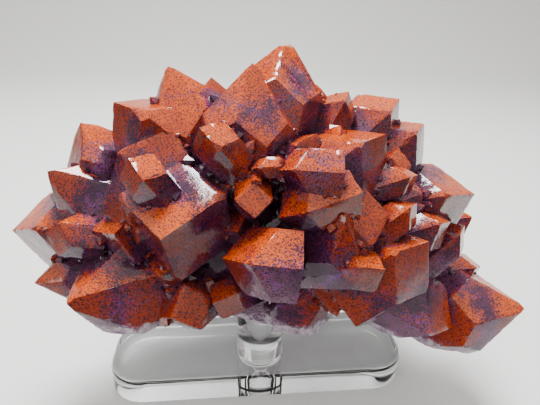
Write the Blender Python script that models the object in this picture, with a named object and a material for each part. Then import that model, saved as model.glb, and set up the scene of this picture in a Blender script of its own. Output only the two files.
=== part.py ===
"""A cluster of amethyst crystals, red with iron oxide, on a clear acrylic stand.

Metres, +Z up. The origin is the middle of the stand's underside, +X runs along the stand, and the
cluster's best side faces -Y. Lengths in the tables are millimetres.
"""
import math
import random

import bmesh
import bpy
from mathutils import Matrix, Vector, noise

MM = 0.001
GAP = 0.3 * MM

# Stand
BASE_LENGTH = 168.0 * MM
BASE_DEPTH = 50.0 * MM
BASE_THICKNESS = 16.0 * MM
BASE_CORNER_RADIUS = 19.0 * MM
BASE_CORNER_STEPS = 10
BASE_EDGE_ROUNDING = 3.0 * MM
BASE_EDGE_STEPS = 3
POST_DIAMETER = 25.4 * MM
POST_FORWARD = 6.2 * MM
POST_SIDES = 48
SOCKET_FLOOR = 1.0 * MM
POST_TOP = 63.0 * MM

# Quartz: the end faces lean this far from a plane square to the crystal's length
END_FACE_TILT = math.radians(51.8)
SIDES = 6

# Matrix that the crystals grow from
MATRIX_CENTRE = Vector((3.0, 3.0, 94.0)) * MM
MATRIX_HALF_SIZES = Vector((96.0, 50.0, 55.0))
MATRIX_ROUGHNESS = 5.0 * MM

# Broken underside: its height in the middle, how it rises to the front and the left and drops on the
# right, and the size of its steps
UNDERSIDE_HEIGHT = 64.0 * MM
FRONT_RISE = 0.22
FRONT_RISE_START = -8.0 * MM
LEFT_RISE = 0.05
RIGHT_DROP = 0.42
RIGHT_DROP_START = 24.0 * MM
UNDERSIDE_STEP = 2.2 * MM
UNDERSIDE_CELL = 15.0 * MM
SEAT_DIAMETER = 31.0 * MM

# Each crystal: tip x, y, z (mm); clock, the lean from upright towards +X (degrees); lean towards the
# front; roll about its length; width across flats (mm); trim, how high above the tip its three minor
# end faces meet, as a share of the width; length (mm)
SHARP = 0.31
SMALL_MINOR = 0.24
EVEN = 0.04
FRONT_CRYSTALS = {
    "crown": (10, 6, 186, 12, -20, 51, 40, EVEN, 70),
    "crown_shoulder": (-7, -20, 180, 5, -6, 57, 38, EVEN, 60),
    "left_peak": (-41, -6, 176, -20, -10, 56, 38, EVEN, 60),
    "behind_left_peak": (-24, 14, 168, 5, -10, 60, 22, SHARP, 50),
    "wedge": (-63, -14, 163, -50, -5, 5, 32, SMALL_MINOR, 60),
    "left_block": (-81, -2, 151, -25, -10, 5, 30, 0.14, 50),
    "mirror_top": (-90, -24, 137, -40, 25, 28, 39, EVEN, 50),
    "far_left": (-115, -14, 104, -85, 10, 0, 36, SHARP, 60),
    "dark_left": (-91, -36, 115, -80, 5, 32, 16, SHARP, 24),
    "left_corner": (-78, -60, 98, -60, 50, 30, 44, EVEN, 50),
    "front_left": (-40, -68, 130, -43, 75, 4, 40, SHARP, 36),
    "front_middle": (-20, -62, 118, -84, -4, 0, 26, SHARP, 28),
    "front_low": (8, -52, 98, -15, 20, 100, 24, SMALL_MINOR, 26),
    "low_left": (-24, -58, 94, -70, 45, 10, 15, SHARP, 30),
    "low_point": (-3, -48, 67, -150, 50, 0, 22, SHARP, 26),
    "low_corner": (-44, -54, 79, -150, 55, 100, 16, SMALL_MINOR, 24),
    "front_right_low": (40, -68, 115, 62, 35, 115, 16, SHARP, 40),
    "front_right": (64, -51, 116, 50, 5, 105, 32, SHARP, 42),
    "far_right": (129, -38, 67, 68, 25, 40, 42, EVEN, 70),
    "right_arm": (104, -12, 118, 72, 15, 0, 40, SHARP, 60),
    "upper_right": (66, 8, 160, 48, -8, 4, 30, SHARP, 50),
    "right_wedge": (79, 4, 149, 50, -10, 115, 28, SHARP, 50),
    "right_shoulder": (48, -28, 154, 50, -5, 110, 34, SHARP, 50),
    "small_by_crown_a": (30, -22, 156, 15, -10, 110, 12, SHARP, 30),
    "small_by_crown_b": (37, -4, 166, 30, -15, 110, 16, SHARP, 40),
    "small_by_crown_c": (32, -2, 165, -6, 2, 0, 12, SMALL_MINOR, 40),
    "middle_left": (-27, -46, 162, -38, 15, 85, 16, SMALL_MINOR, 36),
    "middle_left_back": (-38, -30, 157, 20, 0, 90, 32, SHARP, 40),
    "middle_left_low": (-51, -52, 153, -30, 12, 85, 15, SHARP, 36),
    "small_under_crown_a": (-14, -38, 161, 15, -15, 95, 12, SHARP, 14),
    "small_under_crown_b": (17, -34, 156, 30, 0, 105, 16, SHARP, 30),
    "middle": (0, -49, 147, -88, -6, 115, 17, SHARP, 24),
    "small_middle_a": (-2, -50, 143, -105, 70, 0, 9, SHARP, 20),
    "small_middle_b": (-9, -48, 147, -90, 5, 0, 8, SMALL_MINOR, 11),
    "small_middle_c": (-8, -60, 133, 178, 74, 0, 14, SHARP, 25),
    "middle_right_upper": (1, -58, 132, -100, 20, 115, 18, SHARP, 30),
    "middle_right_low": (25, -60, 134, 3, 25, 0, 26, EVEN, 44),
    "middle_right": (46, -50, 128, 76, 10, 55, 24, SHARP, 30),
    "small_right_a": (60, -42, 129, 55, -10, 105, 14, SHARP, 30),
    "small_right_b": (84, -30, 113, 70, 2, 112, 20, SHARP, 36),
    "small_right_c": (99, -18, 104, 50, -10, 110, 18, SHARP, 44),
    "small_right_d": (117, -14, 76, 80, 5, 115, 16, SHARP, 44),
    "small_right_e": (57, -22, 146, 20, -15, 75, 14, SHARP, 30),
    "small_right_f": (62, -34, 138, 70, 2, 0, 13, SHARP, 30),
    "small_left": (-101, -34, 89, -80, 30, 87, 18, EVEN, 34),
    "low_right_a": (56, -52, 88, 100, 45, 22, 20, SMALL_MINOR, 30),
    "low_right_b": (26, -62, 88, 170, 60, 30, 20, EVEN, 36),
    "low_right_c": (88, -46, 64, 110, 25, 20, 30, SHARP, 50),
    "low_corner_b": (-40, -62, 91, -60, 60, 60, 20, SHARP, 36),
    "behind_front_middle": (2, -62, 111, -10, 70, 30, 18, SHARP, 44),
    "between_left": (-60, -50, 122, -20, 60, 30, 24, SHARP, 36),
    "between_low": (-43, -56, 106, -20, 70, 30, 24, EVEN, 36),
    "between_middle": (-14, -54, 124, -10, 75, 30, 18, SHARP, 30),
}


def clear_scene():
    for item in list(bpy.data.objects):
        bpy.data.objects.remove(item, do_unlink=True)


def new_collection(name):
    collection = bpy.data.collections.new(name)
    bpy.context.scene.collection.children.link(collection)
    return collection


def new_material(name, colour, roughness, transmission=0.0, ior=1.5):
    material = bpy.data.materials.new(name)
    material.use_nodes = True
    shader = material.node_tree.nodes["Principled BSDF"]
    shader.inputs["Base Color"].default_value = (*colour, 1.0)
    shader.inputs["Roughness"].default_value = roughness
    shader.inputs["Metallic"].default_value = 0.0
    shader.inputs["Transmission Weight"].default_value = transmission
    shader.inputs["IOR"].default_value = ior
    return material


def new_object(name, bm, collection, material=None):
    mesh = bpy.data.meshes.new(name)
    bm.to_mesh(mesh)
    bm.free()
    item = bpy.data.objects.new(name, mesh)
    if material:
        mesh.materials.append(material)
    collection.objects.link(item)
    return item


def hide_helper(item):
    item.hide_render = True
    item.display_type = "WIRE"


def add_boolean(item, operation, cutter=None, cutters=None):
    modifier = item.modifiers.new(operation.title(), "BOOLEAN")
    modifier.operation = operation
    modifier.solver = "EXACT"
    if cutters:
        modifier.operand_type = "COLLECTION"
        modifier.collection = cutters
    else:
        modifier.object = cutter
    return modifier


def direction(clock, lean):
    """The way a crystal points: clock turns it from up to +X, lean tips it to the front."""
    across = math.cos(lean)
    return Vector((math.sin(clock) * across, -math.sin(lean), math.cos(clock) * across))


def crystal_frame(tip, clock, lean, roll):
    along = direction(math.radians(clock), math.radians(lean))
    up = Vector((0.0, 0.0, 1.0))
    side = (up - along * along.dot(up)).normalized()
    other = along.cross(side)
    turn = Matrix((side, other, along)).transposed().to_4x4()
    return Matrix.Translation(tip) @ turn @ Matrix.Rotation(math.radians(roll), 4, "Z")


def cut_face(bm, point, normal):
    """Cuts away what lies beyond a plane, and closes the cut with one face."""
    parts = bm.verts[:] + bm.edges[:] + bm.faces[:]
    bmesh.ops.bisect_plane(bm, geom=parts, dist=1e-7, plane_co=point, plane_no=normal, clear_outer=True)
    rim = [edge for edge in bm.edges if edge.is_boundary]
    if rim:
        bmesh.ops.holes_fill(bm, edges=rim)


def add_crystal(name, collection, row):
    """A six-sided quartz prism whose end is cut by three major and three minor faces."""
    x, y, z, clock, lean, roll, width, trim, length = row
    width *= MM
    length *= MM
    bm = bmesh.new()
    corner = 0.5 * width / math.cos(math.pi / SIDES)
    to_face = Matrix.Rotation(math.pi / SIDES, 4, "Z")
    lower = Matrix.Translation((0.0, 0.0, -0.5 * length))
    bmesh.ops.create_cone(bm, cap_ends=True, segments=SIDES, radius1=corner, radius2=corner,
                          depth=length, matrix=lower @ to_face)
    for index in range(SIDES):
        turn = index * math.tau / SIDES
        flat = math.sin(END_FACE_TILT)
        normal = Vector((flat * math.cos(turn), flat * math.sin(turn), math.cos(END_FACE_TILT)))
        height = trim * width if index % 2 else 0.0
        cut_face(bm, Vector((0.0, 0.0, height)), normal)
    bm.transform(crystal_frame(Vector((x, y, z)) * MM, clock, lean, roll))
    bmesh.ops.recalc_face_normals(bm, faces=bm.faces[:])
    item = new_object(name, bm, collection)
    hide_helper(item)
    return item


def back_crystals():
    """Crystals over the far side, the ends and between the named ones, in rows round the matrix."""
    rng = random.Random(11)
    rows = []
    spans = ((-10, 4, 9, 26.0), (12, 8, 9, 30.0), (34, 30, 8, 34.0), (56, 14, 5, 36.0), (76, 40, 2, 34.0))
    for elevation, start, count, size in spans:
        for index in range(count):
            turn = start + (180 - 2 * start) * (index + 0.5) / count
            azimuth = math.radians(turn + rng.uniform(-6, 6))
            height = math.radians(elevation + rng.uniform(-6, 6))
            out = Vector((math.cos(azimuth) * math.cos(height), math.sin(azimuth) * math.cos(height),
                          math.sin(height)))
            reach = rng.uniform(0.9, 1.12)
            tip = Vector((4 + 112 * out.x * reach, -4 + 72 * out.y * reach, 100 + 72 * out.z * reach))
            lean = -math.degrees(math.asin(max(-0.98, min(0.98, out.y * 0.92))))
            clock = math.degrees(math.atan2(out.x, out.z + 0.15))
            width = size * rng.uniform(0.62, 1.1)
            trim = rng.choice((EVEN, SMALL_MINOR, SHARP))
            rows.append((tip.x, tip.y, tip.z, clock, lean, rng.uniform(0, 120), width, trim, 46.0))
    return rows


def add_matrix(name, collection, material):
    """The lump in the middle: a rounded, uneven stone that every crystal starts inside."""
    bm = bmesh.new()
    bmesh.ops.create_icosphere(bm, subdivisions=3, radius=MM)
    for vertex in bm.verts:
        out = vertex.co.normalized()
        place = Vector((out.x * MATRIX_HALF_SIZES.x, out.y * MATRIX_HALF_SIZES.y,
                        out.z * MATRIX_HALF_SIZES.z)) * MM
        bump = noise.noise(place * 40.0) * MATRIX_ROUGHNESS
        vertex.co = place + out * bump + MATRIX_CENTRE
    return new_object(name, bm, collection, material)


def underside_height(x, y):
    height = UNDERSIDE_HEIGHT + FRONT_RISE * max(0.0, FRONT_RISE_START - y)
    return height + LEFT_RISE * max(0.0, -x) - RIGHT_DROP * max(0.0, x - RIGHT_DROP_START)


def add_underside(name, collection):
    """A slab below the cluster whose uneven top breaks the crystals off."""
    rng = random.Random(5)
    columns, rows = 20, 12
    bm = bmesh.new()
    bmesh.ops.create_grid(bm, x_segments=columns, y_segments=rows, size=0.5)
    for vertex in bm.verts:
        x = vertex.co.x * columns * UNDERSIDE_CELL
        y = vertex.co.y * rows * UNDERSIDE_CELL
        shift = 0.25 * UNDERSIDE_CELL
        height = underside_height(x, y) + rng.uniform(-1, 1) * UNDERSIDE_STEP
        vertex.co = (x + rng.uniform(-shift, shift), y + rng.uniform(-shift, shift), height)
    top = bm.faces[:]
    bmesh.ops.triangulate(bm, faces=top)
    made = bmesh.ops.extrude_face_region(bm, geom=bm.faces[:])
    for part in made["geom"]:
        if isinstance(part, bmesh.types.BMVert):
            part.co.z = -0.05
    bmesh.ops.recalc_face_normals(bm, faces=bm.faces[:])
    item = new_object(name, bm, collection)
    hide_helper(item)
    return item


def add_cylinder(name, collection, diameter, low, high, material=None):
    bm = bmesh.new()
    place = Matrix.Translation((0.0, -POST_FORWARD, 0.5 * (low + high)))
    bmesh.ops.create_cone(bm, cap_ends=True, segments=POST_SIDES, radius1=0.5 * diameter,
                          radius2=0.5 * diameter, depth=high - low, matrix=place)
    return new_object(name, bm, collection, material)


def keep_outer_body(item):
    """Applies the modifiers and keeps the one outer body, without closed pockets inside it."""
    depsgraph = bpy.context.evaluated_depsgraph_get()
    mesh = bpy.data.meshes.new_from_object(item.evaluated_get(depsgraph))
    item.modifiers.clear()
    bm = bmesh.new()
    bm.from_mesh(mesh)
    bpy.data.meshes.remove(mesh)
    bmesh.ops.remove_doubles(bm, verts=bm.verts[:], dist=1e-6)
    bmesh.ops.dissolve_degenerate(bm, edges=bm.edges[:], dist=1e-6)
    waiting = set(bm.faces)
    bodies = []
    while waiting:
        body = {waiting.pop()}
        border = list(body)
        while border:
            face = border.pop()
            for edge in face.edges:
                for other in edge.link_faces:
                    if other in waiting:
                        waiting.remove(other)
                        body.add(other)
                        border.append(other)
        bodies.append(body)
    bodies.sort(key=len, reverse=True)
    spare = [face for body in bodies[1:] for face in body]
    bmesh.ops.delete(bm, geom=spare, context="FACES")
    bm.to_mesh(item.data)
    bm.free()


def add_cluster(parts, helpers, material):
    crystals = bpy.data.collections.new("crystals")
    helpers.children.link(crystals)
    for name, row in FRONT_CRYSTALS.items():
        add_crystal(name, crystals, row)
    for index, row in enumerate(back_crystals()):
        add_crystal("back_%02d" % (index + 1), crystals, row)
    cluster = add_matrix("amethyst_cluster", parts, material)
    add_boolean(cluster, "UNION", cutters=crystals)
    add_boolean(cluster, "DIFFERENCE", cutter=add_underside("underside", helpers))
    seat = add_cylinder("seat", helpers, SEAT_DIAMETER, 0.0, POST_TOP + GAP)
    hide_helper(seat)
    add_boolean(cluster, "DIFFERENCE", cutter=seat)
    keep_outer_body(cluster)
    return cluster


def add_base(parts, helpers, material):
    """A thick clear plate with round corners, soft top edges and a socket for the post."""
    bm = bmesh.new()
    half_x = 0.5 * BASE_LENGTH - BASE_CORNER_RADIUS
    half_y = 0.5 * BASE_DEPTH - BASE_CORNER_RADIUS
    centres = ((half_x, half_y, 0), (-half_x, half_y, 90), (-half_x, -half_y, 180), (half_x, -half_y, 270))
    outline = []
    for x, y, start in centres:
        for step in range(BASE_CORNER_STEPS + 1):
            turn = math.radians(start + 90 * step / BASE_CORNER_STEPS)
            outline.append(bm.verts.new((x + BASE_CORNER_RADIUS * math.cos(turn),
                                         y + BASE_CORNER_RADIUS * math.sin(turn), 0.0)))
    floor = bm.faces.new(outline)
    made = bmesh.ops.extrude_face_region(bm, geom=[floor])
    top = [part for part in made["geom"] if isinstance(part, bmesh.types.BMVert)]
    bmesh.ops.translate(bm, verts=top, vec=(0.0, 0.0, BASE_THICKNESS))
    rim = [edge for edge in bm.edges if all(v.co.z > 0.5 * BASE_THICKNESS for v in edge.verts)]
    bmesh.ops.bevel(bm, geom=rim, offset=BASE_EDGE_ROUNDING, offset_type="OFFSET",
                    segments=BASE_EDGE_STEPS, profile=0.5, affect="EDGES", clamp_overlap=True)
    bmesh.ops.recalc_face_normals(bm, faces=bm.faces[:])
    base = new_object("stand_base", bm, parts, material)
    socket = add_cylinder("socket", helpers, POST_DIAMETER + 2 * GAP, SOCKET_FLOOR, 2 * BASE_THICKNESS)
    hide_helper(socket)
    add_boolean(base, "DIFFERENCE", cutter=socket)
    return base


def main():
    clear_scene()
    parts = new_collection("amethyst_on_stand")
    helpers = new_collection("helpers")
    stone = new_material("red_amethyst", (0.45, 0.10, 0.04), 0.35)
    acrylic = new_material("clear_acrylic", (0.95, 0.97, 0.96), 0.03, transmission=1.0, ior=1.49)
    add_cluster(parts, helpers, stone)
    add_base(parts, helpers, acrylic)
    add_cylinder("stand_post", parts, POST_DIAMETER, SOCKET_FLOOR + GAP, POST_TOP, acrylic)


main()
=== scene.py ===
"""An amethyst cluster, red with iron oxide, on its clear stand, seen from above and in front."""
import math
import random

import bmesh
import bpy
from mathutils import Matrix, Vector, noise
from mathutils.bvhtree import BVHTree
from mathutils.kdtree import KDTree


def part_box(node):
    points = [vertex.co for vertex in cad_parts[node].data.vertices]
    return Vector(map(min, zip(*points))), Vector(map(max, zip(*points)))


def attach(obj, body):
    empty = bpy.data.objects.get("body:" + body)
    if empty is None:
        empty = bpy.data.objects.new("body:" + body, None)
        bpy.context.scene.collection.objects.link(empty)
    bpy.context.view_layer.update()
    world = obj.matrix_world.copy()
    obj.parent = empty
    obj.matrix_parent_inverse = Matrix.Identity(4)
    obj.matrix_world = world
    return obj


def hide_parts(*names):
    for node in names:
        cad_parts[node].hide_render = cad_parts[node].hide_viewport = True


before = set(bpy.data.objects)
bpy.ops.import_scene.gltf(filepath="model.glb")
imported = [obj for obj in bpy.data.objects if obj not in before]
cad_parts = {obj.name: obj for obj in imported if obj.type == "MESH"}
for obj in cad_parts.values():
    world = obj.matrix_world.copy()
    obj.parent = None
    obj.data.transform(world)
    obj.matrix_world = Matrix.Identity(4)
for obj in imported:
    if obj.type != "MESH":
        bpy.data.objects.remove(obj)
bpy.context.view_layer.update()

scene = bpy.context.scene
MM = 0.001

# Camera fitted to the stand's edges in the photo
CAMERA_PLACE = Vector((-0.0177, -0.1956, 0.2076))
CAMERA_DOWN = math.radians(26.58)
CAMERA_RIGHT = math.radians(6.31)
CAMERA_ROLL = math.radians(-1.94)
CAMERA_LENS = 29.13

# Stand, as in the solids
PLATE_LENGTH = 168.0 * MM
PLATE_DEPTH = 50.0 * MM
PLATE_THICKNESS = 16.0 * MM
PLATE_CORNER = 19.0 * MM
PLATE_ROUNDING = 3.0 * MM
SOCKET_FLOOR = 1.0 * MM
FIT_GAP = 0.3 * MM
POST_RADIUS = 12.7 * MM
POST_FORWARD = 6.2 * MM
POST_LOW = SOCKET_FLOOR + FIT_GAP
POST_TOP = 63.0 * MM

# Fine forms of the stand; glue points go out from the post and up from the plate
PLATE_SOFT_FOOT = 0.35 * MM
POST_SOFT_EDGE = 0.4 * MM
GLUE_LIFT = 0.05 * MM
GLUE_PROFILE = ((0.0, 0.0), (1.2 * MM, 0.0), (0.9 * MM, 0.4 * MM), (0.3 * MM, 0.8 * MM), (0.0, 1.5 * MM))
CORNER_STEPS = 20
ROUNDING_STEPS = 8
POST_SIDES = 96

# Stone, as in the solids
UNDERSIDE_HEIGHT = 64.0 * MM
FRONT_RISE = 0.22
FRONT_RISE_START = -8.0 * MM
LEFT_RISE = 0.05
RIGHT_DROP = 0.42
RIGHT_DROP_START = 24.0 * MM
END_FACE_TILT = math.radians(51.8)
CROWN_TIP = Vector((10.0, 6.0, 186.0)) * MM

# Wear of the stone
LONGEST_EDGE = 2.6 * MM
SHARP_TURN = math.radians(25)
BROKEN_BAND = 4.0 * MM
BROKEN_RAMP = 5.0 * MM
CHIP_REACH = 6.0 * MM

# Small crystals in the creases
SHORTEST_CREASE = 2.5 * MM
CREASE_TURN = math.radians(-50)
SMALL_SPACING = 10.0 * MM
SMALL_WIDTHS = (1.6 * MM, 2.2 * MM, 2.8 * MM, 3.6 * MM, 5.0 * MM)
SMALL_LENGTH_PER_WIDTH = 1.9
SMALL_LOWEST = 72.0 * MM
SMALL_MARGIN = 1.0 * MM

# Values stored on the stone's vertices
TIP_EDGE_TURN = math.radians(4)
TIP_SHARPNESS = 0.48
VIEW_COUNT = 26
VIEW_REACH = 26.0 * MM
VIEW_LIFT = 0.4 * MM
GRAZING_VIEW = 0.15
BROKEN_FADE = 9.0 * MM

# Optics and colours
QUARTZ_IOR = 1.544
ACRYLIC_IOR = 1.49
# The oxide's colour in painted shade, middle tone and painted highlight: lit and shaded copies of one colour
RUST_SHADE = (0.160, 0.013, 0.002)
RUST = (0.380, 0.032, 0.001)
RUST_PAINTED_HIGHLIGHT = (0.700, 0.105, 0.002)
DARK_SPECK = (0.014, 0.005, 0.010)
OPEN_VIOLET = (0.095, 0.020, 0.085)
PALE_VIOLET = (0.270, 0.095, 0.205)
# Painted shade for the quartz deep in the recesses
VIOLET_PAINTED_SHADE = (0.085, 0.024, 0.052)
# Painted glow: a brighter violet for open places
VIOLET_PAINTED_GLOW = (0.320, 0.055, 0.460)
BROKEN_DARK = (0.13, 0.06, 0.13)
BROKEN_PALE = (0.58, 0.50, 0.56)
CHIP_RED = (0.50, 0.22, 0.16)
CHIP_WHITE = (0.85, 0.72, 0.68)
QUARTZ_TINT = (0.50, 0.16, 0.46)
ACRYLIC_SURFACE = (0.96, 0.98, 0.975)
ACRYLIC_TINT = (0.80, 0.92, 0.88)
FLOOR_PALE = (0.78, 0.78, 0.77)
FLOOR_PALEST = (0.82, 0.82, 0.81)
FLOOR_DARK = (0.16, 0.16, 0.16)
AIR_COLOUR = (1.0, 0.975, 0.94)

# Stage and light, in metres
FLOOR_GAP = 0.5 * MM
STAGE_HALF_WIDTH = 2.5
STAGE_FRONT = -1.2
STAGE_BEND = 0.9
STAGE_CURVE = 0.5
STAGE_TOP = 2.2
STAGE_STEPS = 12
LIGHT_AIM = Vector((0.0, 0.0, 0.1))
AIR_DIM = 0.16
AIR_BRIGHT = 1.25


class Nodes:
    """Adds nodes to one material and links them, with short calls."""

    def __init__(self, name):
        self.material = bpy.data.materials.new(name)
        self.material.use_nodes = True
        self.tree = self.material.node_tree
        self.shader = self.tree.nodes["Principled BSDF"]
        self.output = self.tree.nodes["Material Output"]
        self.place = self.add("ShaderNodeTexCoord").outputs["Object"]

    def add(self, kind, **values):
        node = self.tree.nodes.new(kind)
        for key, value in values.items():
            setattr(node, key, value)
        return node

    def put(self, socket, value):
        if isinstance(value, bpy.types.NodeSocket):
            self.tree.links.new(value, socket)
        elif isinstance(value, (tuple, list)) and len(value) == 3 and len(socket.default_value) == 4:
            socket.default_value = (*value, 1.0)
        else:
            socket.default_value = value

    def math(self, operation, a, b=0.0, clamp=False):
        node = self.add("ShaderNodeMath", operation=operation, use_clamp=clamp)
        self.put(node.inputs[0], a)
        self.put(node.inputs[1], b)
        return node.outputs[0]

    def ramp(self, value, low, high, start=0.0, end=1.0):
        """Runs smoothly from start to end as value goes from low to high."""
        node = self.add("ShaderNodeMapRange", interpolation_type="SMOOTHSTEP")
        for name, number in (("From Min", low), ("From Max", high), ("To Min", start), ("To Max", end)):
            node.inputs[name].default_value = number
        self.put(node.inputs["Value"], value)
        return node.outputs["Result"]

    def noise(self, size, detail=2.0, roughness=0.5, distortion=0.0, place=None):
        """Noise whose features are about size metres across."""
        node = self.add("ShaderNodeTexNoise")
        self.put(node.inputs["Vector"], place or self.place)
        node.inputs["Scale"].default_value = 1.0 / size
        node.inputs["Detail"].default_value = detail
        node.inputs["Roughness"].default_value = roughness
        node.inputs["Distortion"].default_value = distortion
        return node.outputs["Fac"]

    def stored(self, name):
        """A value that the mesh carries at each vertex."""
        return self.add("ShaderNodeAttribute", attribute_name=name).outputs["Fac"]

    def split(self, vector):
        """The X, Y and Z of a vector, as outputs with those names."""
        node = self.add("ShaderNodeSeparateXYZ")
        self.put(node.inputs[0], vector)
        return node.outputs

    def mix(self, amount, first, second):
        node = self.add("ShaderNodeMix", data_type="RGBA")
        self.put(node.inputs[0], amount)
        self.put(node.inputs[6], first)
        self.put(node.inputs[7], second)
        return node.outputs[2]

    def scaled(self, x, y, z):
        node = self.add("ShaderNodeMapping")
        self.put(node.inputs["Vector"], self.place)
        node.inputs["Scale"].default_value = (x, y, z)
        return node.outputs["Vector"]

    def bump(self, height, distance, strength=1.0, normal=None):
        node = self.add("ShaderNodeBump")
        self.put(node.inputs["Height"], height)
        node.inputs["Distance"].default_value = distance
        node.inputs["Strength"].default_value = strength
        if normal:
            self.put(node.inputs["Normal"], normal)
        return node.outputs["Normal"]

    def set(self, **values):
        for name, value in values.items():
            self.put(self.shader.inputs[name.replace("_", " ")], value)


def absorb(nodes, colour, density):
    """Light loses colour as it goes through the material."""
    volume = nodes.add("ShaderNodeVolumeAbsorption")
    volume.inputs["Color"].default_value = (*colour, 1.0)
    volume.inputs["Density"].default_value = density
    nodes.put(nodes.output.inputs["Volume"], volume.outputs["Volume"])


def stone_material():
    """Violet quartz under a skin of red iron oxide specks, thickest on open faces that look up."""
    nodes = Nodes("speckled_amethyst")
    facing_up = nodes.split(nodes.add("ShaderNodeNewGeometry").outputs["True Normal"])["Z"]
    enclosed = nodes.stored("enclosed")
    from_tip = nodes.stored("from_tip")
    wide = nodes.noise(24 * MM, detail=2.0, roughness=0.5, distortion=0.4)
    patches = nodes.noise(6 * MM, detail=3.0, roughness=0.62, distortion=0.7)
    specks = nodes.noise(0.60 * MM, detail=2.0, roughness=0.7)
    blots = nodes.noise(1.5 * MM, detail=2.0, roughness=0.6)
    patch_shift = nodes.math("SUBTRACT", patches, 0.5)
    wide_shift = nodes.math("SUBTRACT", wide, 0.5)

    # How thick the red skin is: near the tips, open, up-facing and by patches
    skin = nodes.math("MULTIPLY", facing_up, 0.30)
    skin = nodes.math("ADD", skin, nodes.ramp(from_tip, 5 * MM, 25 * MM, start=0.40, end=-0.40))
    skin = nodes.math("ADD", skin, nodes.ramp(enclosed, 0.04, 0.55, start=0.12, end=-0.42))
    skin = nodes.math("ADD", skin, nodes.math("MULTIPLY", wide_shift, 0.9))
    skin = nodes.math("ADD", skin, nodes.math("MULTIPLY", patch_shift, 0.8))
    cover = nodes.ramp(skin, -0.55, 0.80, start=0.05, end=0.92)

    # Specks of oxide gather where the skin is thick; dark specks lie over them
    speck_mix = nodes.math("ADD", nodes.math("MULTIPLY", specks, 0.75), nodes.math("MULTIPLY", blots, 0.25))
    speck_mix = nodes.math("ADD", speck_mix, nodes.math("MULTIPLY", cover, 0.34))
    red_specks = nodes.ramp(speck_mix, 0.655, 0.685)
    dark_grain = nodes.noise(0.66 * MM, detail=2.0, roughness=0.6, distortion=0.5)
    dark_specks = nodes.ramp(dark_grain, 0.43, 0.49, start=0.95, end=0.0)
    # Painted light on the oxide: an orange painted highlight on faces that look up, painted shade on faces
    # turned away and in recesses, varied by random patches
    lit = nodes.math("ADD", facing_up, nodes.math("MULTIPLY", patch_shift, 0.9))
    lit = nodes.math("SUBTRACT", lit, nodes.math("MULTIPLY", enclosed, 0.9))
    red = nodes.mix(nodes.ramp(lit, -0.55, 0.55), RUST_SHADE, RUST)
    red = nodes.mix(nodes.ramp(lit, 0.35, 1.05, end=0.8), red, RUST_PAINTED_HIGHLIGHT)

    # Quartz between the specks: violet in random tones, with painted shade that darkens it deep down in the
    # recesses
    quartz = nodes.mix(nodes.ramp(wide, 0.38, 0.62), OPEN_VIOLET, PALE_VIOLET)
    quartz = nodes.mix(nodes.ramp(enclosed, 0.15, 0.85), quartz, VIOLET_PAINTED_SHADE)
    # A painted glow: brighter violet in random patches, only where the stone is open, not in recesses
    open_share = nodes.ramp(enclosed, 0.20, 0.45, start=1.0, end=0.0)
    glow = nodes.math("MULTIPLY", nodes.ramp(patches, 0.52, 0.68), open_share)
    quartz = nodes.mix(nodes.math("MULTIPLY", glow, 0.6), quartz, VIOLET_PAINTED_GLOW)
    colour = nodes.mix(red_specks, quartz, red)
    colour = nodes.mix(nodes.math("MULTIPLY", dark_specks, 0.85), colour, DARK_SPECK)

    # Broken stone along the underside: pale lilac and grey
    ragged = nodes.math("ADD", nodes.stored("broken"), nodes.math("MULTIPLY", patch_shift, 1.1))
    broken = nodes.ramp(ragged, 0.35, 0.62)
    grain = nodes.noise(3 * MM, detail=4.0, roughness=0.7, distortion=1.2)
    pale = nodes.mix(nodes.ramp(grain, 0.35, 0.65), BROKEN_DARK, BROKEN_PALE)
    colour = nodes.mix(nodes.math("MULTIPLY", broken, 0.88), colour, pale)

    # Chipped tip of the tallest crystal
    away = nodes.add("ShaderNodeVectorMath", operation="DISTANCE")
    nodes.put(away.inputs[0], nodes.place)
    away.inputs[1].default_value = CROWN_TIP
    near_tip = nodes.math("ADD", away.outputs["Value"], nodes.math("MULTIPLY", patches, 6 * MM))
    chip = nodes.ramp(near_tip, 6 * MM, 9 * MM, start=1.0, end=0.0)
    chalk = nodes.mix(blots, CHIP_RED, CHIP_WHITE)
    colour = nodes.mix(nodes.math("MULTIPLY", chip, 0.8), colour, chalk)

    # Light goes in where neither specks nor broken stone cover the quartz
    clear = nodes.math("SUBTRACT", 1.0, red_specks)
    clear = nodes.math("MULTIPLY", clear, nodes.math("SUBTRACT", 1.0, broken))
    rough = nodes.ramp(patches, 0.3, 0.7, start=0.04, end=0.12)
    rough = nodes.math("ADD", rough, nodes.math("MULTIPLY", broken, 0.20))
    growth_steps = nodes.noise(2.2 * MM, detail=4.0, roughness=0.6, place=nodes.scaled(1.0, 1.0, 0.35))
    relief = nodes.bump(growth_steps, distance=0.10 * MM, strength=0.35)
    relief = nodes.bump(specks, distance=0.03 * MM, strength=0.40, normal=relief)
    nodes.set(Base_Color=colour, IOR=QUARTZ_IOR, Roughness=rough, Normal=relief)
    nodes.set(Transmission_Weight=nodes.math("MULTIPLY", clear, 0.40))
    absorb(nodes, QUARTZ_TINT, 22.0)
    return nodes.material


def acrylic_material():
    """Clear acrylic with a faint haze and a slightly uneven surface."""
    nodes = Nodes("clear_acrylic")
    haze = nodes.noise(9 * MM, detail=3.0, roughness=0.6)
    unevenness = nodes.noise(22 * MM, detail=1.0, roughness=0.5)
    nodes.set(Base_Color=ACRYLIC_SURFACE, IOR=ACRYLIC_IOR, Transmission_Weight=1.0)
    nodes.set(Roughness=nodes.ramp(haze, 0.35, 0.7, end=0.035))
    nodes.set(Normal=nodes.bump(unevenness, distance=0.05 * MM, strength=0.35))
    absorb(nodes, ACRYLIC_TINT, 1.5)
    return nodes.material


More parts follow.
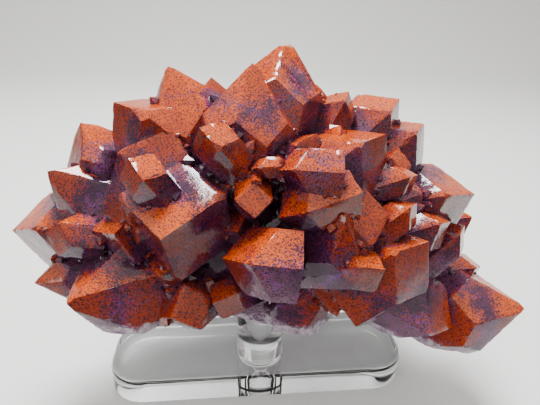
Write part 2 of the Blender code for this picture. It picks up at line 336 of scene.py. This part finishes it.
def floor_material():
    """Pale round the stand and behind it, darker in front and beside, which the stone's faces mirror."""
    nodes = Nodes("pale_floor")
    place = nodes.split(nodes.place)
    grain = nodes.noise(3 * MM, detail=3.0, roughness=0.6)
    pale = nodes.mix(grain, FLOOR_PALE, FLOOR_PALEST)
    front = nodes.ramp(place["Y"], -0.26, -0.10, start=1.0, end=0.0)
    behind = nodes.math("MULTIPLY", nodes.math("MAXIMUM", place["Y"], 0.0), 0.9)
    outward = nodes.math("SUBTRACT", nodes.math("ABSOLUTE", place["X"]), behind)
    beside = nodes.ramp(outward, 0.24, 0.50)
    colour = nodes.mix(nodes.math("MAXIMUM", front, beside), pale, FLOOR_DARK)
    nodes.set(Base_Color=colour, Roughness=0.55)
    return nodes.material


def new_object(name, bm, material):
    mesh = bpy.data.meshes.new(name)
    bm.to_mesh(mesh)
    bm.free()
    mesh.materials.append(material)
    item = bpy.data.objects.new(name, mesh)
    scene.collection.objects.link(item)
    return item


def shade_smooth(bm, sharp_from):
    """Shades the faces smoothly, apart from edges that turn by the angle or more."""
    for face in bm.faces:
        face.smooth = True
    for edge in bm.edges:
        edge.smooth = len(edge.link_faces) == 2 and edge.calc_face_angle(0.0) < sharp_from


def crystal_frame(tip, along, roll):
    """A crystal's own axes: the tip at zero, +Z out along the crystal, turned by roll."""
    helper = Vector((0.0, 0.0, 1.0)) if abs(along.z) < 0.95 else Vector((1.0, 0.0, 0.0))
    side = (helper - along * along.dot(helper)).normalized()
    turn = Matrix((side, along.cross(side), along)).transposed().to_4x4()
    return Matrix.Translation(tip) @ turn @ Matrix.Rotation(roll, 4, "Z")


def add_small_crystal(bm, tip, along, roll, width, length):
    """A six-sided point joined into the stone's mesh."""
    radius = 0.5 * width / math.cos(math.pi / 6)
    drop = 0.5 * width * math.tan(END_FACE_TILT)
    axes = crystal_frame(tip, along, roll)
    point = bm.verts.new(axes @ Vector((0.0, 0.0, 0.0)))
    rings = []
    for depth in (drop, length):
        ring = []
        for index in range(6):
            turn = math.radians(60 * index + 30)
            corner = Vector((radius * math.cos(turn), radius * math.sin(turn), -depth))
            ring.append(bm.verts.new(axes @ corner))
        rings.append(ring)
    upper, lower = rings
    for index in range(6):
        after = (index + 1) % 6
        bm.faces.new((point, upper[index], upper[after]))
        bm.faces.new((upper[index], lower[index], lower[after], upper[after]))
    bm.faces.new(lower[::-1])


def valley_places(bm, rng):
    """Points along the creases between crystals, with the way out of each crease."""
    places = []
    for edge in bm.edges:
        length = edge.calc_length()
        if len(edge.link_faces) != 2 or length < SHORTEST_CREASE:
            continue
        if edge.calc_face_angle_signed() > CREASE_TURN:
            continue
        out = (edge.link_faces[0].normal + edge.link_faces[1].normal).normalized()
        count = max(1, int(length / SMALL_SPACING))
        for index in range(count):
            share = (index + rng.uniform(0.15, 0.85)) / count
            places.append((edge.verts[0].co.lerp(edge.verts[1].co, share), out))
    return places


def cut_fine(bm, longest):
    """Splits edges until none is longer than the limit."""
    for _ in range(8):
        long_edges = [edge for edge in bm.edges if edge.calc_length() > longest]
        if not long_edges:
            break
        bmesh.ops.subdivide_edges(bm, edges=long_edges, cuts=1)
        ngons = [face for face in bm.faces if len(face.verts) > 3]
        bmesh.ops.triangulate(bm, faces=ngons, quad_method="SHORT_EDGE", ngon_method="BEAUTY")


def underside_height(x, y):
    height = UNDERSIDE_HEIGHT + FRONT_RISE * max(0.0, FRONT_RISE_START - y)
    return height + LEFT_RISE * max(0.0, -x) - RIGHT_DROP * max(0.0, x - RIGHT_DROP_START)


def view_directions(count):
    """Directions spread evenly over a sphere."""
    golden = math.pi * (3.0 - math.sqrt(5.0))
    directions = []
    for index in range(count):
        z = 1.0 - 2.0 * (index + 0.5) / count
        across = math.sqrt(1.0 - z * z)
        directions.append(Vector((across * math.cos(golden * index), across * math.sin(golden * index), z)))
    return directions


def crystal_tips(bm):
    """Corners where only convex edges meet and that stick out sharply."""
    tips = []
    for vertex in bm.verts:
        edges = vertex.link_edges
        if len(edges) < 3 or any(len(edge.link_faces) != 2 for edge in edges):
            continue
        if min(edge.calc_face_angle_signed() for edge in edges) < TIP_EDGE_TURN:
            continue
        lean = Vector()
        for edge in edges:
            lean += (edge.other_vert(vertex).co - vertex.co).normalized()
        if lean.length / len(edges) > TIP_SHARPNESS:
            tips.append(vertex.co.copy())
    return tips


def nearest_tree(points):
    tree = KDTree(len(points))
    for index, point in enumerate(points):
        tree.insert(point, index)
    tree.balance()
    return tree


def mark_places(bm, tree, tips):
    """Stores for each vertex how closed in it is, how broken, and how far from a crystal's tip."""
    tip_layer = bm.verts.layers.float.new("from_tip")
    enclosed_layer = bm.verts.layers.float.new("enclosed")
    broken_layer = bm.verts.layers.float.new("broken")
    directions = view_directions(VIEW_COUNT)
    for vertex in bm.verts:
        start = vertex.co + vertex.normal * VIEW_LIFT
        closed = 0.0
        weight = 0.0
        for way in directions:
            share = way.dot(vertex.normal)
            if share < GRAZING_VIEW:
                continue
            weight += share
            distance = tree.ray_cast(start, way, VIEW_REACH)[3]
            if distance is not None:
                closed += share * (1.0 - 0.6 * distance / VIEW_REACH)
        # How closed in the vertex is; the stone's colour uses this for painted shade in the recesses
        vertex[enclosed_layer] = closed / weight
        vertex[tip_layer] = tips.find(vertex.co)[2]
        over = vertex.co.z - underside_height(vertex.co.x, vertex.co.y)
        vertex[broken_layer] = min(1.0, max(0.0, 1.0 - over / BROKEN_FADE))


def wear_stone(bm, low, high):
    """Lets the flat faces undulate a little, nicks the edges, and chips the tallest tip."""
    moves = []
    for vertex in bm.verts:
        place = vertex.co
        folds = [edge.calc_face_angle_signed() for edge in vertex.link_edges if len(edge.link_faces) == 2]
        shift = noise.noise(place * 90.0) * 0.16 + noise.noise(place * 310.0 + Vector((7, 1, 3))) * 0.07
        if max(folds, default=0.0) > SHARP_TURN:
            nick = max(0.0, noise.noise(place * 420.0 + Vector((3, 9, 5))) + 0.1)
            shift = -0.10 - 0.75 * nick * nick
        into_break = underside_height(place.x, place.y) + BROKEN_BAND - place.z
        if into_break > 0.0:
            shift += 1.1 * noise.noise(place * 130.0) * min(1.0, into_break / BROKEN_RAMP)
        target = place + vertex.normal * shift * MM
        if (place - CROWN_TIP).length < CHIP_REACH:
            missing = (1.6 + 1.2 * noise.noise(place * 500.0)) * MM
            top = CROWN_TIP.z - missing - 0.35 * abs(place.x - CROWN_TIP.x)
            target.z = min(target.z, top)
        for axis in range(3):
            target[axis] = min(max(target[axis], low[axis]), high[axis])
        moves.append((vertex, target))
    for vertex, target in moves:
        vertex.co = target


def build_stone():
    """The cluster's own solid, cut fine and worn, with small crystals in its creases."""
    low, high = (Vector(corner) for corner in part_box("amethyst_cluster"))
    rng = random.Random(21)
    bm = bmesh.new()
    bm.from_mesh(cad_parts["amethyst_cluster"].data)
    bmesh.ops.remove_doubles(bm, verts=bm.verts[:], dist=0.005 * MM)
    bmesh.ops.dissolve_limit(bm, angle_limit=math.radians(0.6), verts=bm.verts[:], edges=bm.edges[:])
    bm.normal_update()
    tips = nearest_tree(crystal_tips(bm))
    bmesh.ops.triangulate(bm, faces=bm.faces[:], quad_method="BEAUTY", ngon_method="BEAUTY")
    bm.normal_update()
    places = valley_places(bm, rng)
    cut_fine(bm, LONGEST_EDGE)
    bm.normal_update()
    wear_stone(bm, low, high)
    bm.normal_update()
    tree = BVHTree.FromBMesh(bm)
    for place, out in places:
        tilt = Vector((rng.uniform(-1, 1), rng.uniform(-1, 1), rng.uniform(-1, 1))) * 0.55
        along = (out + tilt).normalized()
        width = rng.choice(SMALL_WIDTHS) * rng.uniform(0.8, 1.15)
        tip = place + along * width * rng.uniform(0.5, 1.1)
        inside = all(low[axis] + SMALL_MARGIN < tip[axis] < high[axis] - SMALL_MARGIN for axis in range(3))
        if inside and tip.z > SMALL_LOWEST:
            roll = rng.uniform(0, 1.05)
            add_small_crystal(bm, tip, along, roll, width, width * SMALL_LENGTH_PER_WIDTH)
    bmesh.ops.recalc_face_normals(bm, faces=bm.faces[:])
    bm.normal_update()
    mark_places(bm, tree, tips)
    shade_smooth(bm, sharp_from=math.radians(14))
    stone = new_object("amethyst", bm, stone_material())
    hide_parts("amethyst_cluster")
    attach(stone, "root")


def rounded_outline(length, depth, radius):
    """Points round a rectangle with round corners."""
    half_x = 0.5 * length - radius
    half_y = 0.5 * depth - radius
    corners = ((half_x, half_y, 0), (-half_x, half_y, 90), (-half_x, -half_y, 180), (half_x, -half_y, 270))
    points = []
    for x, y, start in corners:
        for step in range(CORNER_STEPS + 1):
            turn = math.radians(start + 90 * step / CORNER_STEPS)
            points.append(Vector((x + radius * math.cos(turn), y + radius * math.sin(turn), 0.0)))
    return points


def post_ring(bm, radius, height):
    """A ring of vertices round the post's axis."""
    ring = []
    for index in range(POST_SIDES):
        turn = math.tau * index / POST_SIDES
        ring.append(bm.verts.new((radius * math.cos(turn), radius * math.sin(turn) - POST_FORWARD, height)))
    return ring


def join_rings(bm, rings):
    """Walls from each ring of vertices to the next."""
    for lower, upper in zip(rings, rings[1:]):
        for index in range(len(lower)):
            after = (index + 1) % len(lower)
            bm.faces.new((lower[index], lower[after], upper[after], upper[index]))


def build_plate(material):
    """Stacked outlines give the sides and the soft rims, and a socket opens in the top."""
    bm = bmesh.new()
    levels = [(PLATE_SOFT_FOOT, 0.0), (0.0, PLATE_SOFT_FOOT), (0.0, PLATE_THICKNESS - PLATE_ROUNDING)]
    for step in range(1, ROUNDING_STEPS + 1):
        turn = math.radians(90 * step / ROUNDING_STEPS)
        inset = PLATE_ROUNDING * (1 - math.cos(turn))
        levels.append((inset, PLATE_THICKNESS - PLATE_ROUNDING * (1 - math.sin(turn))))
    rings = []
    for inset, height in levels:
        length = PLATE_LENGTH - 2 * inset
        depth = PLATE_DEPTH - 2 * inset
        outline = rounded_outline(length, depth, PLATE_CORNER - inset)
        rings.append([bm.verts.new(point + Vector((0.0, 0.0, height))) for point in outline])
    join_rings(bm, rings)
    bm.faces.new(rings[0][::-1])
    socket = [post_ring(bm, POST_RADIUS + FIT_GAP, height) for height in (PLATE_THICKNESS, SOCKET_FLOOR)]
    join_rings(bm, socket)
    bm.faces.new(socket[1])
    rims = [edge for edge in bm.edges if edge.is_boundary]
    bmesh.ops.triangle_fill(bm, edges=rims, use_beauty=True, use_dissolve=False)
    bmesh.ops.recalc_face_normals(bm, faces=bm.faces[:])
    shade_smooth(bm, sharp_from=math.radians(25))
    plate = new_object("plate", bm, material)
    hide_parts("stand_base")
    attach(plate, "root")


def build_post(material):
    """The round rod with softened ends and a low ring of glue where it leaves the plate."""
    bm = bmesh.new()
    foot = PLATE_THICKNESS + GLUE_LIFT
    profile = [(-POST_SOFT_EDGE, POST_LOW), (0.0, POST_LOW + POST_SOFT_EDGE)]
    profile += [(out, foot + up) for out, up in GLUE_PROFILE]
    profile += [(0.0, POST_TOP - POST_SOFT_EDGE), (-POST_SOFT_EDGE, POST_TOP)]
    rings = [post_ring(bm, POST_RADIUS + out, height) for out, height in profile]
    join_rings(bm, rings)
    bm.faces.new(rings[0][::-1])
    bm.faces.new(rings[-1])
    bmesh.ops.recalc_face_normals(bm, faces=bm.faces[:])
    shade_smooth(bm, sharp_from=math.radians(30))
    post = new_object("post", bm, material)
    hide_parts("stand_post")
    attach(post, "root")


def build_stage():
    """A pale floor that curves up behind."""
    bm = bmesh.new()
    profile = [(STAGE_FRONT, 0.0), (STAGE_BEND, 0.0)]
    for step in range(1, STAGE_STEPS + 1):
        turn = math.radians(90 * step / STAGE_STEPS)
        profile.append((STAGE_BEND + STAGE_CURVE * math.sin(turn), STAGE_CURVE * (1 - math.cos(turn))))
    profile.append((STAGE_BEND + STAGE_CURVE, STAGE_TOP))
    left = [bm.verts.new((-STAGE_HALF_WIDTH, y, z - FLOOR_GAP)) for y, z in profile]
    right = [bm.verts.new((STAGE_HALF_WIDTH, y, z - FLOOR_GAP)) for y, z in profile]
    for index in range(len(profile) - 1):
        bm.faces.new((left[index], right[index], right[index + 1], left[index + 1]))
    for face in bm.faces:
        face.smooth = True
    floor = new_object("floor", bm, floor_material())


def add_softbox(name, place, size_x, size_y, power):
    """A rectangular light that faces the stone."""
    light = bpy.data.lights.new(name, "AREA")
    light.shape = "RECTANGLE"
    light.size = size_x
    light.size_y = size_y
    light.energy = power
    item = bpy.data.objects.new(name, light)
    item.location = place
    item.rotation_euler = (LIGHT_AIM - Vector(place)).to_track_quat("-Z", "Y").to_euler()
    scene.collection.objects.link(item)


def add_lights():
    add_softbox("overhead", place=(-0.05, 0.31, 0.95), size_x=0.42, size_y=0.34, power=21.0)
    add_softbox("front_left", place=(-0.8, -0.7, 0.7), size_x=0.5, size_y=0.5, power=3.5)


def add_studio_air():
    """Soft light from all round: bright overhead, dim at eye level."""
    world = bpy.data.worlds.new("studio")
    world.use_nodes = True
    tree = world.node_tree
    split = tree.nodes.new("ShaderNodeSeparateXYZ")
    tree.links.new(tree.nodes.new("ShaderNodeTexCoord").outputs["Generated"], split.inputs[0])
    strength = tree.nodes.new("ShaderNodeMapRange")
    strength.interpolation_type = "SMOOTHSTEP"
    for name, number in (("From Min", -0.1), ("From Max", 0.8), ("To Min", AIR_DIM), ("To Max", AIR_BRIGHT)):
        strength.inputs[name].default_value = number
    tree.links.new(split.outputs["Z"], strength.inputs["Value"])
    background = tree.nodes["Background"]
    background.inputs["Color"].default_value = (*AIR_COLOUR, 1.0)
    tree.links.new(strength.outputs["Result"], background.inputs["Strength"])
    scene.world = world


def add_camera():
    forward = Vector((math.sin(CAMERA_RIGHT) * math.cos(CAMERA_DOWN),
                      math.cos(CAMERA_RIGHT) * math.cos(CAMERA_DOWN), -math.sin(CAMERA_DOWN)))
    right = Vector((math.cos(CAMERA_RIGHT), -math.sin(CAMERA_RIGHT), 0.0))
    down = forward.cross(right)
    across = math.cos(CAMERA_ROLL) * right + math.sin(CAMERA_ROLL) * down
    below = math.cos(CAMERA_ROLL) * down - math.sin(CAMERA_ROLL) * right
    turn = Matrix((across, -below, -forward)).transposed().to_4x4()
    camera = bpy.data.cameras.new("camera")
    camera.lens = CAMERA_LENS
    camera.sensor_width = 36.0
    camera.clip_start = 0.01
    item = bpy.data.objects.new("camera", camera)
    item.matrix_world = Matrix.Translation(CAMERA_PLACE) @ turn
    scene.collection.objects.link(item)
    scene.camera = item


build_stone()
acrylic = acrylic_material()
build_plate(acrylic)
build_post(acrylic)
build_stage()
add_lights()
add_studio_air()
add_camera()
